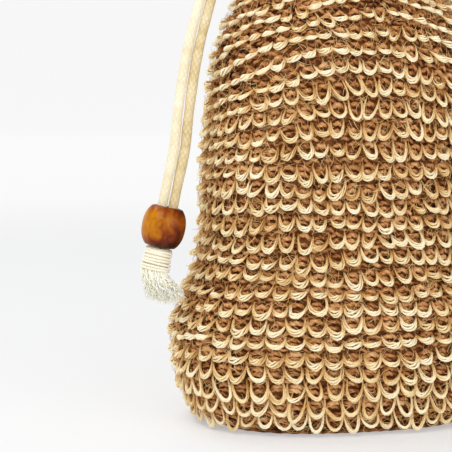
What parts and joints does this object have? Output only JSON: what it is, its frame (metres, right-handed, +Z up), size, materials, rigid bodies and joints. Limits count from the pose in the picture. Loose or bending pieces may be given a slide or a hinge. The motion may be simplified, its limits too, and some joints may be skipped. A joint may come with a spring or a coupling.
{
  "type": "drawstring pouch",
  "caption": "Small standing drawstring pouch of looped plant-fibre knit with a gathered neck, a cotton drawstring, a wooden bead and a frayed tassel.",
  "frame": {"origin": "on the floor under the middle of the pouch", "axes": "+Z up, front face towards -Y, the drawstring's free ends on the -X side"},
  "size_m": [0.1123, 0.0646, 0.1648],
  "materials": {
    "ground_yarn": "matt, twisted plant fibre",
    "loop_yarn": "matt, hairy plant fibre",
    "cotton_cord": "matt, braided cotton",
    "binding_thread": "satin, waxed cotton thread",
    "frayed_cotton": "matt, combed-out cotton",
    "lacquered_wood": "gloss amber lacquer"
  },
  "bodies": {
    "pouch": {"front_panel": "ground_yarn", "back_panel": "ground_yarn", "front_loop_pile": "loop_yarn", "back_loop_pile": "loop_yarn", "left_side_seam": "loop_yarn", "right_side_seam": "loop_yarn", "base_seam": "ground_yarn"},
    "front_lip": {"front_gather": "ground_yarn", "front_gather_loops": "loop_yarn", "front_mouth_edging": "loop_yarn", "front_drawstring_run": "cotton_cord"},
    "back_lip": {"back_gather": "ground_yarn", "back_gather_loops": "loop_yarn", "back_mouth_edging": "loop_yarn", "back_drawstring_run": "cotton_cord"},
    "tail": {"drawstring_leg_front": "cotton_cord", "drawstring_leg_back": "cotton_cord", "whipping": "binding_thread", "tassel": "frayed_cotton"},
    "bead": {"bead": "lacquered_wood"}
  },
  "joints": [
    {"name": "mouth_open_front", "type": "hinge", "parent": "pouch", "child": "front_lip", "pos_m": [0, -0.0273, 0.104], "axis": [1, 0, 0], "range_deg": [0, 20]},
    {"name": "mouth_open_back", "type": "hinge", "parent": "pouch", "child": "back_lip", "pos_m": [0, 0.0273, 0.104], "axis": [1, 0, 0], "range_deg": [-20, 0]},
    {"name": "drawstring_swing", "type": "hinge", "parent": "pouch", "child": "tail", "pos_m": [-0.018, 0, 0.143], "axis": [0, 1, 0], "range_deg": [0, 45]},
    {"name": "bead_slide", "type": "slide", "parent": "tail", "child": "bead", "axis": [0.2079, 0, 0.9781], "range_m": [0, 0.015]}
  ],
  "couplings": [
    {"joint": "mouth_open_back", "follows": "mouth_open_front", "ratio": -1}
  ]
}
